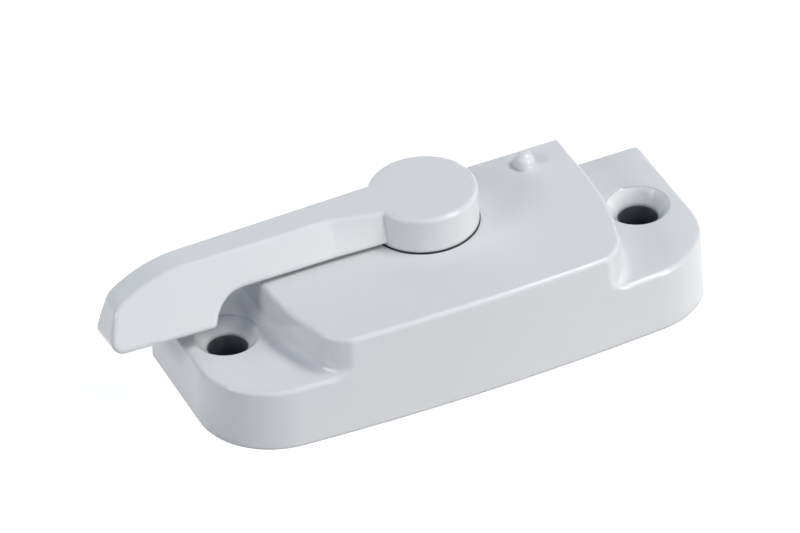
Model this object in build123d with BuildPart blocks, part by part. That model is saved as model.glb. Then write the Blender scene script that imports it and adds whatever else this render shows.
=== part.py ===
from build123d import *
import math
import os

# Sliding window lock: a painted cast housing with a stepped top, a sweep handle
# on it and a cam under it. Millimetres, +Z up.
# The origin is midway between the two screw holes, on the mounting face.
# +X runs along the lock and +Y points to its straight back edge.

os.makedirs("parts", exist_ok=True)

# Housing outline, at the mounting face
length = 63.5
width = 25.4
hole_to_back = 11.11
front_bow = 1.7
front_corner = 9.6
back_corner = 0.9
wall_draft = 2.0

# Heights of the housing
land_height = 7.94
top_height = 12.7

# Walls of the step between the raised middle and the two end lands
land_length = 10.45
step_sweep = 12.0
step_curve_inset = 1.9
step_curve_depth = 4.29
step_corner_inset = 7.4
step_corner_depth = 0.15
step_draft = 3.0
step_foot = 1.1
edge_round = 0.5

# Hollow under the housing
wall = 2.0
roof = 2.0
inner_draft = 1.5

# Screw holes and their bosses
hole_to_end = 5.555
hole_radius = 2.4
sink_radius = 3.8
sink_angle = 82
boss_radius = 4.9
web_thickness = 1.2
web_height = 4.6

# Pivot of the handle
pivot_x = 0.5
pivot_y = 3.3
shaft_radius = 3.5
shaft_fit = 0.05
pivot_boss_radius = 5.8
pivot_boss_height = 2.0
ring_radius = 4.6
ring_height = 0.2

# Stop nub on the raised middle
nub_inset = 6.0
nub_radius = 1.25
nub_height = 1.9
nub_gap = 0.15

# Handle: hub and arm
hub_radius = 6.45
handle_rise = 4.76
arm_gap = 0.45
arm_front = 0.45
arm_ridge = 2.6
arm_back = 6.9
arm_taper = 1.0
blend_start = 4.0
blend_end = 11.5

# Handle: finger pad at the end of the arm
tip_overhang = 8.75
tip_margin = 1.5
pad_length = 13.0
notch_length = 4.2
droop_length = 11.2
pad_rise = 0.4
pad_clearance = 0.26
pad_twist = 1.85
shoulder_front_inset = 1.1
shoulder_front_share = 0.23
shoulder_back_inset = 2.6
shoulder_back_share = 0.345
shoulder_round = 3.0
tip_corner = 1.4
tip_round = 4.0
notch_corner = 0.6
pad_margin = 0.1
ridge_round = 0.5

# Cam
cam_space = 0.8
cam_thickness = 2.2
cam_hub_radius = 5.4
cam_front_gap = 1.39
cam_half_width = 3.5
cam_lip = 1.7
cam_lip_depth = 1.8
cam_hook_angle = 38
cam_hook_width = 4.0
hook_round = 1.2
flat_half_width = 2.6
cam_fit = 0.05

# Window in the back wall, where the cam comes out
window_clearance = 0.5

# Rib that stops the cam at the open end of its travel
rib_gap = 0.3
rib_thickness = 1.4
rib_length = 5.0

# Spring washer, plain washer and screw
spring_thickness = 0.4
spring_inner = 3.7
spring_outer = 5.3
spring_gap = 0.02
washer_thickness = 0.5
washer_radius = 4.6
washer_chamfer = 0.1
screw_radius = 1.5
screw_fit = 0.02
screw_depth = 5.4
screw_length = 5.4
screw_chamfer = 0.4
washer_fit = 0.15
head_radius = 2.9
head_height = 2.0
head_chamfer = 0.5
recess_depth = 1.1
recess_width = 0.7
recess_reach = 1.6
recess_draft = 8
end_gap = 0.1

# Reach of the selections that find an edge by its place
pick = 0.1

# Places worked out from the sizes above
half = length / 2
back_y = hole_to_back
front_y = hole_to_back - width
land_ceiling = land_height - roof
top_ceiling = top_height - roof
hole_spacing = length - 2 * hole_to_end
step_x = half - land_length
step_curve_x = step_x - step_curve_inset
step_curve_y = front_y + step_curve_depth
step_sweep_y = step_curve_y + step_sweep
step_corner_x = step_x - step_corner_inset
step_corner_y = front_y + step_corner_depth
nub_x = step_x - nub_inset
pivot_boss_bottom = top_ceiling - pivot_boss_height
hub_bottom = top_height + ring_height
arm_bottom = top_height + arm_gap
handle_top = top_height + handle_rise
tip_reach = half + tip_overhang
notch_end = tip_reach - pad_length
notch_start = notch_end - notch_length
droop_start = tip_reach - droop_length
pad_bottom_back = land_height + pad_clearance
pad_bottom_front = pad_bottom_back + pad_twist
front_lean = (arm_ridge - arm_front) / (handle_top - arm_bottom)
pad_front = arm_front - front_lean * (arm_bottom - pad_bottom_front) - pad_margin
cam_top = pivot_boss_bottom - cam_space
cam_reach = pivot_y - front_y - wall - cam_front_gap
cam_bottom = cam_top - cam_thickness
lip_bottom = cam_bottom - cam_lip_depth
washer_bottom = cam_bottom - washer_thickness
head_bottom = washer_bottom - head_height
nub_y = 2 * pivot_y - arm_front + nub_radius + nub_gap
beyond_all = length
pivot = (pivot_x, pivot_y)
pivot_axis = Axis((pivot_x, pivot_y, 0), (0, 0, 1))
pivot_section = Plane((pivot_x, pivot_y, 0), x_dir=(1, 0, 0), z_dir=(0, -1, 0))


def base_outline():
    """Outline of the housing at the mounting face, with a straight back edge."""
    with BuildSketch() as sketch:
        with BuildLine():
            side_y = front_y + front_bow
            back = Line((half, back_y), (-half, back_y))
            left = Line(back @ 1, (-half, side_y))
            front = ThreePointArc(left @ 1, (0, front_y), (half, side_y))
            Line(front @ 1, back @ 0)
        make_face()
        fillet(sketch.vertices().group_by(Axis.Y)[0], front_corner)
        fillet(sketch.vertices().group_by(Axis.Y)[-1], back_corner)
    return sketch.sketch


def beyond_step():
    """Regions outside the two step walls."""
    with BuildSketch() as sketch:
        with BuildLine():
            side = Line((step_x, beyond_all), (step_x, step_sweep_y))
            sweep_in = TangentArc(side @ 1, (step_curve_x, step_curve_y), tangent=(0, -1))
            corner_end = (step_corner_x, step_corner_y)
            corner = TangentArc(sweep_in @ 1, corner_end, tangent=sweep_in % 1)
            runout = Line(corner @ 1, corner @ 1 + (corner % 1) * front_corner)
            down = Line(runout @ 1, (runout @ 1) + Vector(0, -beyond_all))
            Polyline(down @ 1, (beyond_all, -beyond_all), (beyond_all, beyond_all), side @ 0)
        make_face()
        mirror(about=Plane.YZ)
    return sketch.sketch


def sharp_edges(part, above, angle=12):
    """Edges above a height whose two faces meet at more than the angle."""
    found = []
    for edge in part.edges():
        middle = edge @ 0.5
        sides = [f for f in part.faces() if any(e.is_same(edge) for e in f.edges())]
        if middle.Z > above and len(sides) == 2:
            if sides[0].normal_at(middle).get_angle(sides[1].normal_at(middle)) > angle:
                found.append(edge)
    return found


outline = base_outline()
screw_places = [(hole_spacing / 2, 0), (-hole_spacing / 2, 0)]

# Housing: one casting, stepped on top and open underneath
with BuildPart() as housing:
    with BuildSketch():
        add(outline)
    extrude(amount=top_height, taper=wall_draft)
    with BuildSketch(Plane.XY.offset(land_height)):
        add(beyond_step())
    extrude(amount=top_height, taper=-step_draft, mode=Mode.SUBTRACT)
    foot = []
    for face in housing.faces():
        box = face.bounding_box()
        if box.min.Z > land_height - pick and box.max.Z > land_height + pick:
            foot += face.edges().filter_by_position(Axis.Z, land_height - pick, land_height + pick)
    fillet(foot, step_foot)
    fillet(sharp_edges(housing.part, above=land_height / 2), edge_round)

    # Hollow under the whole outline, and the taller one under the raised middle
    with BuildSketch():
        add(outline)
        offset(amount=-wall, mode=Mode.REPLACE)
    extrude(amount=land_ceiling, taper=inner_draft, mode=Mode.SUBTRACT)
    with BuildSketch():
        add(outline)
        offset(amount=-wall, mode=Mode.REPLACE)
        with BuildSketch(mode=Mode.SUBTRACT):
            add(beyond_step())
            offset(amount=wall)
    extrude(amount=top_ceiling, taper=inner_draft, mode=Mode.SUBTRACT)

    # Screw bosses with thin webs to the walls
    with BuildSketch(Plane.XY.offset(land_ceiling - web_height)):
        add(outline)
        offset(amount=-wall / 2, mode=Mode.REPLACE)
        with BuildSketch(mode=Mode.INTERSECT):
            with Locations(*screw_places):
                Rectangle(web_thickness, beyond_all)
            with Locations((half, 0), (-half, 0)):
                Rectangle(length - hole_spacing, web_thickness)
    extrude(amount=web_height)
    with BuildSketch():
        with Locations(*screw_places):
            Circle(boss_radius)
    extrude(amount=land_ceiling)
    with Locations(*[(x, y, land_height) for x, y in screw_places]):
        CounterSinkHole(hole_radius, sink_radius, counter_sink_angle=sink_angle)

    # Bearing of the handle's shaft
    with BuildSketch(Plane.XY.offset(pivot_boss_bottom)):
        with Locations(pivot):
            Circle(pivot_boss_radius)
    extrude(amount=pivot_boss_height)
    with BuildSketch(Plane.XY.offset(top_height)):
        with Locations(pivot):
            Circle(ring_radius)
    extrude(amount=ring_height)
    with Locations((pivot_x, pivot_y, hub_bottom)):
        Hole(shaft_radius + shaft_fit, depth=hub_bottom)

    # Rib that the cam rests against, and the window that it comes out of
    rib_x = pivot_x - cam_half_width - rib_gap - rib_thickness / 2
    with BuildSketch(Plane.XY.offset(lip_bottom)):
        with Locations((rib_x, front_y + wall / 2)):
            Rectangle(rib_thickness, rib_length, align=(Align.CENTER, Align.MIN))
    extrude(amount=top_ceiling - lip_bottom)
    window_left = pivot_x - cam_half_width - window_clearance
    window_reach = math.sqrt(cam_reach**2 - (back_y - wall - pivot_y) ** 2)
    window_right = pivot_x + window_reach + window_clearance
    window_height = cam_top - lip_bottom + 2 * window_clearance
    with BuildSketch(Plane.XY.offset(lip_bottom - window_clearance)):
        with Locations((window_left, back_y - wall / 2)):
            Rectangle(window_right - window_left, 2 * wall, align=(Align.MIN, Align.CENTER))
    extrude(amount=window_height, mode=Mode.SUBTRACT)

    # Stop nub, rounded on top
    with BuildSketch(Plane.XY.offset(top_height)):
        with Locations((nub_x, nub_y)):
            Circle(nub_radius)
    extrude(amount=nub_height - nub_radius)
    with Locations((nub_x, nub_y, top_height + nub_height - nub_radius)):
        Sphere(nub_radius)

housing.part.label = "housing"
export_step(housing.part, "parts/housing.step")

# Handle: hub, arm, finger pad and shaft in one casting
def arm_back_at(x):
    """Place of the arm's back wall, which tapers towards the tip."""
    return arm_back - arm_taper * abs(x) / tip_reach


def side_view(y, shoulder_inset, shoulder_share, pad_bottom):
    """Outline of the arm and the dropped pad in the plane at y."""
    with BuildSketch(Plane.XZ.offset(-y)) as sketch:
        with BuildLine():
            top = Line((-blend_end, handle_top), (-droop_start, handle_top))
            shoulder_drop = shoulder_share * (handle_top - pad_bottom)
            shoulder = (shoulder_inset - tip_reach, handle_top - shoulder_drop)
            droop = TangentArc(top @ 1, shoulder, tangent=top % 1)
            end = Line(droop @ 1, (-tip_reach, pad_bottom + pad_rise))
            bottom = Line(end @ 1, (-notch_end, pad_bottom))
            notch = TangentArc((-notch_start, arm_bottom), bottom @ 1, tangent=(-1, 0))
            Polyline(notch @ 0, (-blend_end, arm_bottom), top @ 0)
        make_face()
        fillet(sketch.vertices().sort_by_distance(shoulder)[0], shoulder_round)
        fillet(sketch.vertices().sort_by_distance(end @ 1)[0], tip_corner)
        fillet(sketch.vertices().sort_by_distance(bottom @ 1)[0], notch_corner)
    return sketch.sketch


with BuildPart() as handle:
    # Two side views, joined by a twist: the pad's top and bottom fall towards the back
    add(side_view(pad_front, shoulder_front_inset, shoulder_front_share, pad_bottom_front))
    add(side_view(arm_back, shoulder_back_inset, shoulder_back_share, pad_bottom_back))
    loft()

    # Plan view: tapered back wall, and a round back corner that starts just past the tip
    with BuildSketch() as plan_view:
        tip_back = (-tip_reach - tip_margin, arm_back_at(tip_reach))
        with BuildLine():
            start = (-blend_end, arm_back_at(blend_end))
            Polyline((-blend_end, -width), start, tip_back, (tip_back[0], -width), close=True)
        make_face()
        fillet(plan_view.vertices().sort_by_distance(tip_back)[0], tip_round)
    extrude(amount=handle_top, mode=Mode.INTERSECT)

    # End view: the front face leans back
    with BuildSketch(Plane.YZ.offset(-blend_end)):
        with BuildLine():
            Polyline(
                (arm_front - front_lean * arm_bottom, 0),
                (arm_ridge, handle_top),
                (-beyond_all, handle_top),
                (-beyond_all, 0),
                close=True,
            )
        make_face()
    extrude(amount=-tip_reach, mode=Mode.SUBTRACT)

    # Root of the arm, where the lean fades out at the hub
    for x, ridge in ((blend_end, arm_ridge), (blend_start, arm_front)):
        with BuildSketch(Plane.YZ.offset(-x)):
            with BuildLine():
                Polyline(
                    (arm_front, arm_bottom),
                    (ridge, handle_top),
                    (arm_back_at(x), handle_top),
                    (arm_back_at(x), arm_bottom),
                    close=True,
                )
            make_face()
    loft(ruled=True)
    root = [e for e in sharp_edges(handle.part, above=0) if (e @ 0.5).X < -blend_start - pick]
    fillet(root, ridge_round)

    # Hub, rounded round its top
    with BuildSketch(pivot_section) as hub_section:
        with Locations((0, hub_bottom)):
            Rectangle(hub_radius, handle_top - hub_bottom, align=(Align.MIN, Align.MIN))
        fillet(hub_section.vertices().sort_by_distance((hub_radius, handle_top))[0], ridge_round)
    revolve(axis=pivot_axis)

    # Shaft: round in the housing, with two flats in the cam, bored for the screw
    with BuildSketch(Plane.XY.offset(cam_top)):
        with Locations(pivot):
            Circle(shaft_radius)
    extrude(amount=hub_bottom - cam_top)
    with BuildSketch(Plane.XY.offset(cam_bottom + end_gap)):
        with Locations(pivot):
            Circle(shaft_radius)
            Rectangle(2 * flat_half_width, 2 * shaft_radius, mode=Mode.INTERSECT)
    extrude(amount=cam_thickness - end_gap)
    with BuildSketch(Plane.XY.offset(cam_bottom + end_gap)):
        with Locations(pivot):
            Circle(screw_radius + screw_fit)
    extrude(amount=screw_depth, mode=Mode.SUBTRACT)
handle.part.label = "handle"
export_step(handle.part, "parts/handle.step")

# Cam: plate with a hooked lip, which points to the front while the lock is open
cam_start = -90 - math.degrees(math.asin(cam_half_width / cam_reach))
cam_sweep = cam_hook_angle - 90 - cam_start


def ring_sector(inner, outer):
    """Part of a ring about the pivot, as wide as the cam's hook."""
    with BuildSketch() as sketch:
        with BuildLine():
            far = CenterArc((0, 0), outer, cam_start, cam_sweep)
            near = CenterArc((0, 0), inner, cam_start, cam_sweep)
            Line(far @ 0, near @ 0)
            Line(far @ 1, near @ 1)
        make_face()
        fillet(sketch.vertices().sort_by_distance(far @ 1)[0], hook_round)
    return sketch.sketch


with BuildPart() as cam:
    with BuildSketch(Plane((pivot_x, pivot_y, cam_bottom))):
        Circle(cam_reach)
        with Locations((0, -cam_reach / 2)):
            Rectangle(2 * cam_half_width, cam_reach, mode=Mode.INTERSECT)
        Circle(cam_hub_radius)
        add(ring_sector(cam_reach - cam_hook_width, cam_reach))
    extrude(amount=cam_thickness)
    with BuildSketch(Plane((pivot_x, pivot_y, lip_bottom))):
        add(ring_sector(cam_reach - cam_lip, cam_reach))
    extrude(amount=cam_lip_depth)
    with BuildSketch(Plane((pivot_x, pivot_y, cam_bottom))):
        Circle(shaft_radius + cam_fit)
        Rectangle(2 * (flat_half_width + cam_fit), cam_reach, mode=Mode.INTERSECT)
    extrude(amount=cam_thickness, mode=Mode.SUBTRACT)
cam.part.label = "cam"
export_step(cam.part, "parts/cam.step")

# Spring washer: shallow cone between the housing's inner boss and the cam
with BuildPart() as spring_washer:
    with BuildSketch(pivot_section):
        with BuildLine():
            spring_top = pivot_boss_bottom - spring_gap
            spring_foot = cam_top + spring_gap
            Polyline(
                (spring_inner, spring_top),
                (spring_inner, spring_top - spring_thickness),
                (spring_outer, spring_foot),
                (spring_outer, spring_foot + spring_thickness),
                close=True,
            )
        make_face()
    revolve(axis=pivot_axis)
spring_washer.part.label = "spring_washer"
export_step(spring_washer.part, "parts/spring_washer.step")

# Plain washer under the screw's head
with BuildPart() as cam_washer:
    with BuildSketch(Plane((pivot_x, pivot_y, washer_bottom))):
        Circle(washer_radius)
        Circle(screw_radius + washer_fit, mode=Mode.SUBTRACT)
    extrude(amount=washer_thickness)
    rims = cam_washer.edges().filter_by(GeomType.CIRCLE).group_by(SortBy.RADIUS)[-1]
    chamfer(rims, washer_chamfer)
cam_washer.part.label = "cam_washer"
export_step(cam_washer.part, "parts/cam_washer.step")

# Screw: pan head with a cross recess, driven from below into the shaft
with BuildPart() as cam_screw:
    with BuildSketch(Plane((pivot_x, pivot_y, head_bottom))):
        Circle(head_radius)
    extrude(amount=head_height)
    chamfer(cam_screw.edges().group_by(Axis.Z)[0], head_chamfer)
    with BuildSketch(Plane((pivot_x, pivot_y, washer_bottom))):
        Circle(screw_radius)
    extrude(amount=screw_length)
    chamfer(cam_screw.edges().group_by(Axis.Z)[-1], screw_chamfer)
    with BuildSketch(Plane((pivot_x, pivot_y, head_bottom))):
        Rectangle(2 * recess_reach, recess_width)
        Rectangle(recess_width, 2 * recess_reach)
    extrude(amount=recess_depth, taper=recess_draft, mode=Mode.SUBTRACT)
cam_screw.part.label = "cam_screw"
export_step(cam_screw.part, "parts/cam_screw.step")
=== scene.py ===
import math

import bpy
from mathutils import Matrix, Vector
from mathutils.geometry import convex_hull_2d

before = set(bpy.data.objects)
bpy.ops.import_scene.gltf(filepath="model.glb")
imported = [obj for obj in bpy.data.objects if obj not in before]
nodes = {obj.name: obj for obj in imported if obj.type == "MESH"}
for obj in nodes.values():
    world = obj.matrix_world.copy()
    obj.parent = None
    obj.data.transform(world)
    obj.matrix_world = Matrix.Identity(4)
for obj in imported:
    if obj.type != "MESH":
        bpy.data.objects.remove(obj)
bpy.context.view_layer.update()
print("frame loaded:", ", ".join(sorted(nodes)))


# Small helpers for shader trees
def startMaterial(name):
    material = bpy.data.materials.new(name)
    material.use_nodes = True
    tree = material.node_tree
    return material, tree, tree.nodes["Principled BSDF"]


# Links a socket, and sets any other value directly
def setSocket(tree, socket, value):
    if isinstance(value, bpy.types.NodeSocket):
        tree.links.new(value, socket)
    else:
        socket.default_value = value


def addNode(tree, kind, **inputs):
    node = tree.nodes.new(kind)
    for key, value in inputs.items():
        setSocket(tree, node.inputs[key], value)
    return node


def objectPlace(tree):
    return tree.nodes.new("ShaderNodeTexCoord").outputs["Object"]


def noise(tree, place, scale, detail=2.0):
    node = addNode(tree, "ShaderNodeTexNoise", Vector=place, Scale=scale, Detail=detail)
    return node.outputs["Fac"]


def remap(tree, value, low, high, toLow=0.0, toHigh=1.0):
    node = addNode(tree, "ShaderNodeMapRange", Value=value)
    node.inputs["From Min"].default_value = low
    node.inputs["From Max"].default_value = high
    node.inputs["To Min"].default_value = toLow
    node.inputs["To Max"].default_value = toHigh
    return node.outputs["Result"]


def combine(tree, operation, first, second):
    node = tree.nodes.new("ShaderNodeMath")
    node.operation = operation
    setSocket(tree, node.inputs[0], first)
    setSocket(tree, node.inputs[1], second)
    return node.outputs[0]


def square(tree, value):
    return combine(tree, "MULTIPLY", value, value)


def mixColors(tree, share, first, second):
    node = tree.nodes.new("ShaderNodeMix")
    node.data_type = "RGBA"
    for index, value in {0: share, 6: first, 7: second}.items():
        setSocket(tree, node.inputs[index], value)
    return node.outputs[2]


# Gloss paint on cast metal: faint cloudy tone, orange peel and a few pits
paint = {
    "bright": (0.716, 0.708, 0.713, 1),
    "dull": (0.703, 0.696, 0.702, 1),
    "pit": (0.30, 0.30, 0.32, 1),
    "cloudScale": 90,
    "cloudDetail": 1.5,
    "cloudRange": (0.2, 0.8),
    "peelScale": 1300,
    "peelDetail": 1.0,
    "peelShare": 0.35,
    "waveScale": 260,
    "waveDetail": (3.0, 1.0),  # in the roughness, in the bump
    "waveRange": (0.3, 0.7),
    "pitScale": 210,
    "pitShare": 0.80,  # cells above this have a pit
    "pitSize": 0.045,
    "pitEdge": 0.45,  # share of the size at which a pit is full
    "bump": (0.06, 0.0002),  # strength, depth
    "roughness": (0.17, 0.24),
    "coat": 0.20,
    "coatRoughness": 0.08,
    "ior": 1.5,
    "softness": 0.0006,  # radius of the soft corners
    "softSamples": 6,
}

# Places drawn dark or bare: painted shade in the screw bores and round the hub's foot, and the bare
# cast metal of the open underside
bareAndShade = {
    # for the painted shade in the bores: distance from the middle, radius, height where the shade
    # starts, height where it is full
    "boreShade": (0.026195, 0.00250, 0.0064, 0.0036),
    "rim": (0.00378, 0.00008, 0.0072),  # radius, width, lowest place
    "rimShare": 0.35,
    # painted shade under the hub, a little wider than the hub
    "pivot": (0.0005, 0.0033, 0.00656, 0.0132),  # x, y, radius, top
    # tone of the painted shade in the bores and under the hub, also used for the rim lines
    "darkTone": (0.085, 0.105, 0.130, 1),
    "castTone": (0.40, 0.41, 0.42, 1),
    "castGrain": (0.25, 0.26, 0.27, 1),
    "grainScale": 700,
    "grainDetail": 3.0,
    "grainRange": (0.3, 0.7),
    # outline: half length, front and back from the hole line, corner radius
    "half": 0.03175,
    "front": 0.01429,
    "back": 0.01111,
    "corner": 0.0096,
    "bow": 1.69,  # the front edge's curve
    "wallDepth": 0.0013,  # how far inside the outline the bare metal starts
    "lowRoof": 0.00605,
    "highRoof": 0.0111,
    "step": (0.0202, 14.5, 0.002),  # half width, curve, where the curve starts
    "roughness": 0.5,
    "metallic": 0.7,
}


def distance(tree, first, second):
    total = combine(tree, "ADD", square(tree, first), square(tree, second))
    return combine(tree, "SQRT", total, 0.0)


# Painted shade deep in each screw bore below its countersink, darker downward, and a thin dark line
# round its rim
def holeMasks(tree, x, y, z):
    spacing, radius, top, bottom = bareAndShade["boreShade"]
    aside = combine(tree, "SUBTRACT", combine(tree, "ABSOLUTE", x, 0.0), spacing)
    away = distance(tree, aside, y)
    within = combine(tree, "LESS_THAN", away, radius)
    boreShade = combine(tree, "MULTIPLY", within, remap(tree, z, top, bottom))
    ring, width, low = bareAndShade["rim"]
    off = combine(tree, "ABSOLUTE", combine(tree, "SUBTRACT", away, ring), 0.0)
    above = combine(tree, "GREATER_THAN", z, low)
    line = combine(tree, "MULTIPLY", remap(tree, off, width, 0.0), above)
    return boreShade, line


# Painted shade under the hub: a dark disc a little wider than the hub, so a thin dark ring shows
# round its foot
def hubShadeMask(tree, x, y, z):
    centerX, centerY, radius, top = bareAndShade["pivot"]
    aside = combine(tree, "SUBTRACT", x, centerX)
    ahead = combine(tree, "SUBTRACT", y, centerY)
    away = distance(tree, aside, ahead)
    near = combine(tree, "LESS_THAN", away, radius)
    below = combine(tree, "LESS_THAN", z, top)
    above = combine(tree, "GREATER_THAN", z, bareAndShade["highRoof"])
    return combine(tree, "MULTIPLY", combine(tree, "MULTIPLY", near, below), above)


# Inside the walls' outline and under the two roofs
def hollowMask(tree, x, y, z):
    wide = combine(tree, "ABSOLUTE", x, 0.0)
    sideways = combine(tree, "SUBTRACT", wide, bareAndShade["half"] - bareAndShade["corner"])
    bowed = combine(tree, "SUBTRACT", combine(tree, "MULTIPLY", square(tree, x), bareAndShade["bow"]), y)
    forward = combine(tree, "SUBTRACT", bowed, bareAndShade["front"] - bareAndShade["corner"])
    beside = combine(tree, "MAXIMUM", sideways, 0.0)
    beyond = combine(tree, "MAXIMUM", forward, 0.0)
    turned = distance(tree, beside, beyond)
    flat = combine(tree, "MINIMUM", combine(tree, "MAXIMUM", sideways, forward), 0.0)
    reach = combine(tree, "ADD", turned, flat)
    inside = combine(tree, "LESS_THAN", reach, bareAndShade["corner"] - bareAndShade["wallDepth"])
    ahead = combine(tree, "LESS_THAN", y, bareAndShade["back"] - bareAndShade["wallDepth"])

    width, curve, start = bareAndShade["step"]
    before = combine(tree, "MAXIMUM", combine(tree, "SUBTRACT", start, y), 0.0)
    edge = combine(tree, "SUBTRACT", width, combine(tree, "MULTIPLY", square(tree, before), curve))
    middle = combine(tree, "LESS_THAN", wide, edge)
    extra = combine(tree, "MULTIPLY", middle, bareAndShade["highRoof"] - bareAndShade["lowRoof"])
    under = combine(tree, "LESS_THAN", z, combine(tree, "ADD", extra, bareAndShade["lowRoof"]))
    return combine(tree, "MULTIPLY", combine(tree, "MULTIPLY", inside, ahead), under)


# Turns the paint into bare cast metal in the hollow and into painted shade in the bores and under
# the hub, by the masks, and draws the line round each rim
def leaveBareAndShade(tree, surface):
    axes = addNode(tree, "ShaderNodeSeparateXYZ", Vector=objectPlace(tree)).outputs
    boreShade, line = holeMasks(tree, *axes)
    shadeMask = combine(tree, "MAXIMUM", boreShade, hubShadeMask(tree, *axes))
    bareOrShaded = combine(tree, "MAXIMUM", hollowMask(tree, *axes), shadeMask)
    base = surface.inputs["Base Color"]
    lined = combine(tree, "MULTIPLY", line, bareAndShade["rimShare"])
    tree.links.new(mixColors(tree, lined, base.links[0].from_socket, bareAndShade["darkTone"]), base)
    speckle = noise(tree, objectPlace(tree), bareAndShade["grainScale"], bareAndShade["grainDetail"])
    grain = remap(tree, speckle, *bareAndShade["grainRange"])
    cast = mixColors(tree, grain, bareAndShade["castGrain"], bareAndShade["castTone"])
    castOrShade = mixColors(tree, shadeMask, cast, bareAndShade["darkTone"])
    bareOrShadeValues = {
        "Base Color": castOrShade,
        "Roughness": bareAndShade["roughness"],
        "Coat Weight": 0.0,
        "Metallic": bareAndShade["metallic"],
    }
    for key, value in bareOrShadeValues.items():
        socket = surface.inputs[key]
        before = socket.links[0].from_socket if socket.links else socket.default_value
        if key == "Base Color":
            tree.links.new(mixColors(tree, bareOrShaded, before, value), socket)
        else:
            step = tree.nodes.new("ShaderNodeMix")
            setSocket(tree, step.inputs[0], bareOrShaded)
            setSocket(tree, step.inputs[2], before)
            step.inputs[3].default_value = value
            tree.links.new(step.outputs[0], socket)


def paintMaterial(name, s, shift):
    material, tree, surface = startMaterial(name)
    start = addNode(tree, "ShaderNodeMapping", Vector=objectPlace(tree), Location=shift)
    place = start.outputs["Vector"]
    cloud = remap(tree, noise(tree, place, s["cloudScale"], s["cloudDetail"]), *s["cloudRange"])
    tone = mixColors(tree, cloud, s["dull"], s["bright"])

    cells = addNode(tree, "ShaderNodeTexVoronoi", Vector=place, Scale=s["pitScale"])
    chosen = combine(tree, "GREATER_THAN", cells.outputs["Color"], s["pitShare"])
    near = remap(tree, cells.outputs["Distance"], s["pitSize"], s["pitSize"] * s["pitEdge"])
    pits = combine(tree, "MULTIPLY", chosen, near)
    tree.links.new(mixColors(tree, pits, tone, s["pit"]), surface.inputs["Base Color"])

    roughDetail, bumpDetail = s["waveDetail"]
    waves = noise(tree, place, s["waveScale"], roughDetail)
    rough = remap(tree, waves, *s["waveRange"], *s["roughness"])
    tree.links.new(rough, surface.inputs["Roughness"])
    surface.inputs["Coat Weight"].default_value = s["coat"]
    surface.inputs["Coat Roughness"].default_value = s["coatRoughness"]
    surface.inputs["IOR"].default_value = s["ior"]

    ripple = noise(tree, place, s["peelScale"], s["peelDetail"])
    peel = combine(tree, "MULTIPLY", ripple, s["peelShare"])
    wave = combine(tree, "ADD", noise(tree, place, s["waveScale"], bumpDetail), peel)
    height = combine(tree, "SUBTRACT", wave, pits)
    strength, depth = s["bump"]
    bump = addNode(tree, "ShaderNodeBump", Height=height, Strength=strength, Distance=depth)
    soft = addNode(tree, "ShaderNodeBevel", Radius=s["softness"])
    soft.samples = s["softSamples"]
    tree.links.new(soft.outputs["Normal"], bump.inputs["Normal"])
    tree.links.new(bump.outputs["Normal"], surface.inputs["Normal"])
    return material


# The housing's material is the paint with bare places and painted shade
def housingMaterial():
    material = paintMaterial("housing_paint", paint, (0.0, 0.0, 0.0))
    tree = material.node_tree
    leaveBareAndShade(tree, tree.nodes["Principled BSDF"])
    return material


# Zinc plated or spring steel: spangle and rolling lines
zinc = {
    "bright": (0.66, 0.66, 0.64, 1),
    "dull": (0.47, 0.47, 0.46, 1),
    "roughness": (0.24, 0.42),
    "lineScale": 3000,
    "lineDetail": 3.0,
    "lineStretch": (0.04, 1.0, 1.0),
    "spangleScale": 900,
    "spangleShare": 0.55,
    "mixRange": (0.2, 0.8),
    "bump": (0.12, 0.00005),
}
spring = {
    **zinc,
    "bright": (0.40, 0.40, 0.41, 1),
    "dull": (0.27, 0.27, 0.28, 1),
    "roughness": (0.28, 0.44),
    "lineScale": 3500,
    "lineStretch": (1.0, 0.05, 1.0),
    "spangleScale": 1400,
}


def steelMaterial(name, s):
    material, tree, surface = startMaterial(name)
    place = objectPlace(tree)
    stretched = addNode(tree, "ShaderNodeMapping", Vector=place, Scale=s["lineStretch"])
    lines = noise(tree, stretched.outputs["Vector"], s["lineScale"], s["lineDetail"])
    cells = addNode(tree, "ShaderNodeTexVoronoi", Vector=place, Scale=s["spangleScale"])
    spangle = combine(tree, "MULTIPLY", cells.outputs["Color"], s["spangleShare"])
    mixed = combine(tree, "ADD", spangle, combine(tree, "MULTIPLY", lines, 1.0 - s["spangleShare"]))
    tree.links.new(mixColors(tree, mixed, s["dull"], s["bright"]), surface.inputs["Base Color"])
    surface.inputs["Metallic"].default_value = 1.0
    tree.links.new(remap(tree, mixed, *s["mixRange"], *s["roughness"]), surface.inputs["Roughness"])
    strength, depth = s["bump"]
    bump = addNode(tree, "ShaderNodeBump", Height=lines, Strength=strength, Distance=depth)
    tree.links.new(bump.outputs["Normal"], surface.inputs["Normal"])
    return material


finishes = {
    "housing": housingMaterial(),
    "handle": paintMaterial("handle_paint", paint, (0.13, 0.07, 0.02)),  # pattern shifted
    "cam": steelMaterial("cam_zinc", zinc),
    "cam_washer": steelMaterial("washer_zinc", zinc),
    "cam_screw": steelMaterial("screw_zinc", zinc),
    "spring_washer": steelMaterial("spring_steel", spring),
}
for nodeName, finish in finishes.items():
    piece = nodes[nodeName]
    piece.data.materials.clear()
    piece.data.materials.append(finish)
print("materials made:", len(finishes))


# Rays that show the backdrop: to the camera, and by gloss or glass
def seenDirectly(tree):
    paths = tree.nodes.new("ShaderNodeLightPath").outputs
    gloss = combine(tree, "MAXIMUM", paths["Is Glossy Ray"], paths["Is Transmission Ray"])
    return combine(tree, "MAXIMUM", paths["Is Camera Ray"], gloss)


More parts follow.
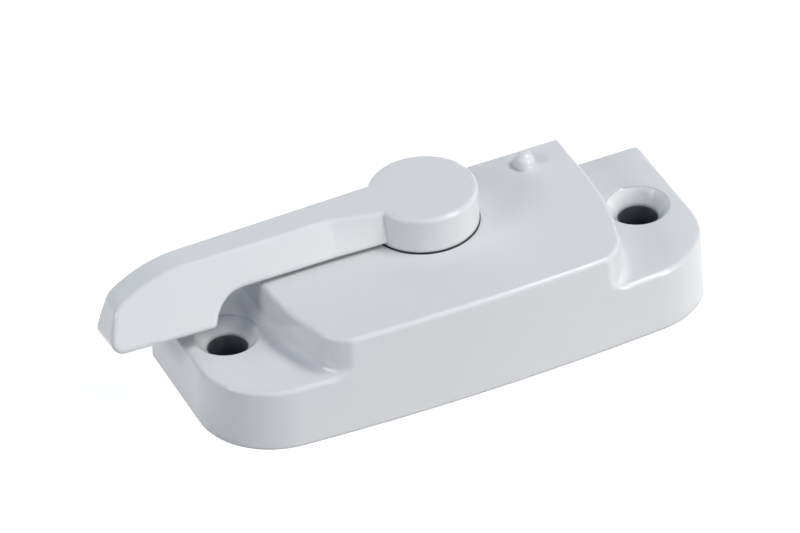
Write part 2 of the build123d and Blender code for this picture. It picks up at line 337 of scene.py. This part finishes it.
# Floor: a pale lit table, open under the housing so that the hollow gets light
floorLook = {
    "reach": 3.0,
    "color": (0.45, 0.45, 0.45, 1),
    "roughness": 0.9,
    "specular": 0.1,
    "glow": 0.80,
    "grainScale": 800,
    "bump": (0.03, 0.0002),
    "touch": 1e-5,  # points lower than this stand on the floor
}


def makeFloor(s):
    foot = [point.co.xy for point in nodes["housing"].data.vertices if point.co.z < s["touch"]]
    inner = [foot[index] for index in convex_hull_2d(foot)]
    outer = [point.normalized() * s["reach"] for point in inner]
    count = len(inner)
    faces = [(i, i + count, (i + 1) % count + count, (i + 1) % count) for i in range(count)]
    mesh = bpy.data.meshes.new("floor")
    mesh.from_pydata([(*point, 0.0) for point in inner + outer], [], faces)
    floor = bpy.data.objects.new("floor", mesh)
    bpy.context.scene.collection.objects.link(floor)
    material, tree, surface = startMaterial("floor_paper")
    surface.inputs["Base Color"].default_value = s["color"]
    surface.inputs["Roughness"].default_value = s["roughness"]
    surface.inputs["Specular IOR Level"].default_value = s["specular"]
    surface.inputs["Emission Color"].default_value = (1, 1, 1, 1)
    seen = combine(tree, "MULTIPLY", seenDirectly(tree), s["glow"])
    tree.links.new(seen, surface.inputs["Emission Strength"])
    strength, depth = s["bump"]
    height = noise(tree, objectPlace(tree), s["grainScale"])
    grain = addNode(tree, "ShaderNodeBump", Height=height, Strength=strength, Distance=depth)
    tree.links.new(grain.outputs["Normal"], surface.inputs["Normal"])
    mesh.materials.append(material)


makeFloor(floorLook)


# Studio: white backdrop, blue-grey surround for light, and dark below the floor
studio = {
    "surround": (0.208, 0.266, 0.330, 1),
    "below": (0.09, 0.095, 0.105, 1),
    "horizon": -0.12,  # the dark part starts this far under level
    "lampColor": (1.0, 0.985, 0.962),
    "distance": 0.8,
    "boxSize": (0.22, 0.18),  # of each soft box that names no size
}


def makeWorld(s):
    world = bpy.data.worlds.new("studio")
    world.use_nodes = True
    tree = world.node_tree
    tree.nodes.clear()
    soft = addNode(tree, "ShaderNodeBackground", Color=s["surround"], Strength=1.0)
    heading = tree.nodes.new("ShaderNodeTexCoord").outputs["Generated"]
    height = addNode(tree, "ShaderNodeSeparateXYZ", Vector=heading).outputs["Z"]
    low = combine(tree, "LESS_THAN", height, s["horizon"])
    shown = mixColors(tree, low, (1, 1, 1, 1), s["below"])
    white = addNode(tree, "ShaderNodeBackground", Color=shown, Strength=1.0)
    mix = tree.nodes.new("ShaderNodeMixShader")
    tree.links.new(seenDirectly(tree), mix.inputs[0])
    tree.links.new(soft.outputs[0], mix.inputs[1])
    tree.links.new(white.outputs[0], mix.inputs[2])
    output = tree.nodes.new("ShaderNodeOutputWorld")
    tree.links.new(mix.outputs[0], output.inputs["Surface"])
    bpy.context.scene.world = world


makeWorld(studio)

# Soft boxes: direction they stand in, size and power. A matte one adds no highlights.
softBoxes = [
    {"name": "key", "azimuth": 36, "elevation": 10, "size": (0.15, 0.13), "power": 2.80},
    {"name": "side", "azimuth": 95, "elevation": 10, "power": 0.25},
    {"name": "top", "azimuth": 60, "elevation": 60, "power": 2.85},
    {"name": "left", "azimuth": -82, "elevation": 32, "power": 1.40},
    {"name": "back", "azimuth": 168, "elevation": 8, "power": 1.30, "matte": True},
    {"name": "under", "azimuth": 158, "elevation": -42, "power": 2.50, "matte": True},
    {"name": "glint", "azimuth": -68, "elevation": 32, "size": (0.07, 0.07), "power": 0.32},
]


def direction(azimuth, elevation):
    a, e = math.radians(azimuth), math.radians(elevation)
    return Vector((math.sin(a) * math.cos(e), -math.cos(a) * math.cos(e), math.sin(e)))


for box in softBoxes:
    data = bpy.data.lights.new(box["name"], "AREA")
    data.shape = "RECTANGLE"
    data.size, data.size_y = box.get("size", studio["boxSize"])
    data.energy = box["power"]
    data.color = studio["lampColor"]
    light = bpy.data.objects.new(box["name"], data)
    away = direction(box["azimuth"], box["elevation"])
    light.location = away * studio["distance"]
    light.visible_glossy = not box.get("matte", False)
    light.rotation_mode = "QUATERNION"
    light.rotation_quaternion = away.to_track_quat("Z", "Y")
    bpy.context.scene.collection.objects.link(light)
print("studio made:", len(softBoxes), "lights")

# Camera at the photographed angle, fitted to the four stated sizes
shot = {
    "azimuth": -22.042,
    "elevation": 37.168,
    "roll": -3.758,
    "distance": 0.739721,
    "aim": (-0.004369, 0.006660),
    "lens": 285.449,
    "sensor": 36.0,
    "clip": (0.01, 20),
}


def makeCamera(s):
    back = direction(s["azimuth"], s["elevation"])
    level = Vector((0, 0, 1)).cross(back).normalized()
    upright = back.cross(level)
    roll = math.radians(s["roll"])
    right = math.cos(roll) * level + math.sin(roll) * upright
    up = math.cos(roll) * upright - math.sin(roll) * level
    data = bpy.data.cameras.new("camera")
    data.sensor_width = s["sensor"]
    data.lens = s["lens"]
    data.clip_start, data.clip_end = s["clip"]
    camera = bpy.data.objects.new("camera", data)
    place = s["aim"][0] * right + s["aim"][1] * up + s["distance"] * back
    turn = Matrix((right, up, back)).transposed().to_4x4()
    camera.matrix_world = Matrix.Translation(place) @ turn
    bpy.context.scene.collection.objects.link(camera)
    bpy.context.scene.camera = camera


makeCamera(shot)
bpy.context.scene.view_settings.view_transform = "Standard"
print("camera set")
